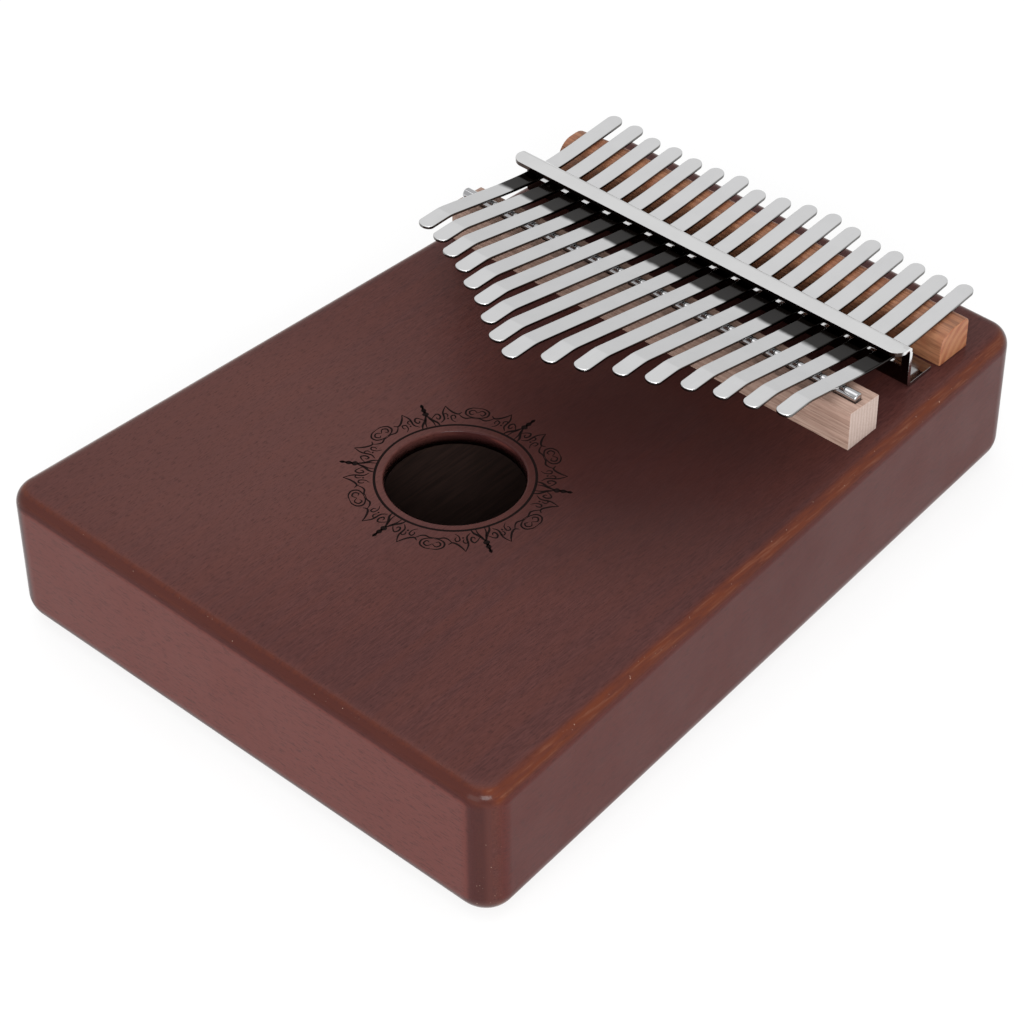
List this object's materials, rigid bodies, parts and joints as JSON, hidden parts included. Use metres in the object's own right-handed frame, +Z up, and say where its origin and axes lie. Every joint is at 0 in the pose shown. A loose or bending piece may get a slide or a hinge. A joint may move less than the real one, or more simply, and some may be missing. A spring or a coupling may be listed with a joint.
{
  "type": "mbira",
  "caption": "Hollow wooden box mbira: sprung steel tines pressed over a rod and rear bridge by a slotted bracket, above a round sound hole.",
  "frame": {"origin": "centre of the flat underside of the box", "axes": "+Z up, +Y along the box from the player's end to the end that carries the tines, +X to the player's right"},
  "size_m": [0.1366, 0.185, 0.056],
  "materials": {
    "mahogany": "satin lacquer over dark stained mahogany",
    "plain_wood": "raw softwood",
    "pale_wood": "bare straight-grained wood",
    "orange_wood": "oiled wood",
    "polished_steel": "polished",
    "satin_steel": "satin"
  },
  "bodies": {
    "root": {"soundboard": "mahogany", "back_board": "mahogany", "side_board_left": "mahogany", "side_board_right": "mahogany", "end_board_player": "mahogany", "end_board_tines": "mahogany", "anchor_block": "plain_wood", "front_bridge": "pale_wood", "bridge_rod": "polished_steel", "rear_bridge": "orange_wood", "pressure_bracket": "polished_steel", "bracket_screw_1": "polished_steel", "bracket_screw_2": "polished_steel", "bracket_screw_3": "polished_steel", "bracket_screw_4": "polished_steel", "bracket_screw_5": "polished_steel"},
    "tine_01_body": {"tine_01": "satin_steel"},
    "tine_02_body": {"tine_02": "satin_steel"},
    "tine_03_body": {"tine_03": "satin_steel"},
    "tine_04_body": {"tine_04": "satin_steel"},
    "tine_05_body": {"tine_05": "satin_steel"},
    "tine_06_body": {"tine_06": "satin_steel"},
    "tine_07_body": {"tine_07": "satin_steel"},
    "tine_08_body": {"tine_08": "satin_steel"},
    "tine_09_body": {"tine_09": "satin_steel"},
    "tine_10_body": {"tine_10": "satin_steel"},
    "tine_11_body": {"tine_11": "satin_steel"},
    "tine_12_body": {"tine_12": "satin_steel"},
    "tine_13_body": {"tine_13": "satin_steel"},
    "tine_14_body": {"tine_14": "satin_steel"},
    "tine_15_body": {"tine_15": "satin_steel"},
    "tine_16_body": {"tine_16": "satin_steel"},
    "tine_17_body": {"tine_17": "satin_steel"}
  },
  "joints": [
    {"name": "tine_01_pluck", "type": "hinge", "parent": "root", "child": "tine_01_body", "pos_m": [-0.05149, 0.0387, 0.0462], "axis": [1, 0, 0], "range_deg": [0, 2.5], "stiffness_Nm_per_rad": 4.9},
    {"name": "tine_02_pluck", "type": "hinge", "parent": "root", "child": "tine_02_body", "pos_m": [-0.04526, 0.0387, 0.0462], "axis": [1, 0, 0], "range_deg": [0, 2.5], "stiffness_Nm_per_rad": 4.47},
    {"name": "tine_03_pluck", "type": "hinge", "parent": "root", "child": "tine_03_body", "pos_m": [-0.03903, 0.0387, 0.0462], "axis": [1, 0, 0], "range_deg": [0, 2.5], "stiffness_Nm_per_rad": 3.88},
    {"name": "tine_04_pluck", "type": "hinge", "parent": "root", "child": "tine_04_body", "pos_m": [-0.0328, 0.0387, 0.0462], "axis": [1, 0, 0], "range_deg": [0, 2.5], "stiffness_Nm_per_rad": 3.52},
    {"name": "tine_05_pluck", "type": "hinge", "parent": "root", "child": "tine_05_body", "pos_m": [-0.02657, 0.0387, 0.0462], "axis": [1, 0, 0], "range_deg": [0, 2.5], "stiffness_Nm_per_rad": 3.08},
    {"name": "tine_06_pluck", "type": "hinge", "parent": "root", "child": "tine_06_body", "pos_m": [-0.02034, 0.0387, 0.0462], "axis": [1, 0, 0], "range_deg": [0, 2.5], "stiffness_Nm_per_rad": 2.8},
    {"name": "tine_07_pluck", "type": "hinge", "parent": "root", "child": "tine_07_body", "pos_m": [-0.01411, 0.0387, 0.0462], "axis": [1, 0, 0], "range_deg": [0, 2.5], "stiffness_Nm_per_rad": 2.48},
    {"name": "tine_08_pluck", "type": "hinge", "parent": "root", "child": "tine_08_body", "pos_m": [-0.00788, 0.0387, 0.0462], "axis": [1, 0, 0], "range_deg": [0, 2.5], "stiffness_Nm_per_rad": 2.25},
    {"name": "tine_09_pluck", "type": "hinge", "parent": "root", "child": "tine_09_body", "pos_m": [-0.00165, 0.0387, 0.0462], "axis": [1, 0, 0], "range_deg": [0, 2.5], "stiffness_Nm_per_rad": 2.11},
    {"name": "tine_10_pluck", "type": "hinge", "parent": "root", "child": "tine_10_body", "pos_m": [0.00458, 0.0387, 0.0462], "axis": [1, 0, 0], "range_deg": [0, 2.5], "stiffness_Nm_per_rad": 2.36},
    {"name": "tine_11_pluck", "type": "hinge", "parent": "root", "child": "tine_11_body", "pos_m": [0.01081, 0.0387, 0.0462], "axis": [1, 0, 0], "range_deg": [0, 2.5], "stiffness_Nm_per_rad": 2.56},
    {"name": "tine_12_pluck", "type": "hinge", "parent": "root", "child": "tine_12_body", "pos_m": [0.01704, 0.0387, 0.0462], "axis": [1, 0, 0], "range_deg": [0, 2.5], "stiffness_Nm_per_rad": 2.93},
    {"name": "tine_13_pluck", "type": "hinge", "parent": "root", "child": "tine_13_body", "pos_m": [0.02327, 0.0387, 0.0462], "axis": [1, 0, 0], "range_deg": [0, 2.5], "stiffness_Nm_per_rad": 3.21},
    {"name": "tine_14_pluck", "type": "hinge", "parent": "root", "child": "tine_14_body", "pos_m": [0.0295, 0.0387, 0.0462], "axis": [1, 0, 0], "range_deg": [0, 2.5], "stiffness_Nm_per_rad": 3.68},
    {"name": "tine_15_pluck", "type": "hinge", "parent": "root", "child": "tine_15_body", "pos_m": [0.03573, 0.0387, 0.0462], "axis": [1, 0, 0], "range_deg": [0, 2.5], "stiffness_Nm_per_rad": 4.13},
    {"name": "tine_16_pluck", "type": "hinge", "parent": "root", "child": "tine_16_body", "pos_m": [0.04196, 0.0387, 0.0462], "axis": [1, 0, 0], "range_deg": [0, 2.5], "stiffness_Nm_per_rad": 4.55},
    {"name": "tine_17_pluck", "type": "hinge", "parent": "root", "child": "tine_17_body", "pos_m": [0.04819, 0.0387, 0.0462], "axis": [1, 0, 0], "range_deg": [0, 2.5], "stiffness_Nm_per_rad": 5.28}
  ]
}
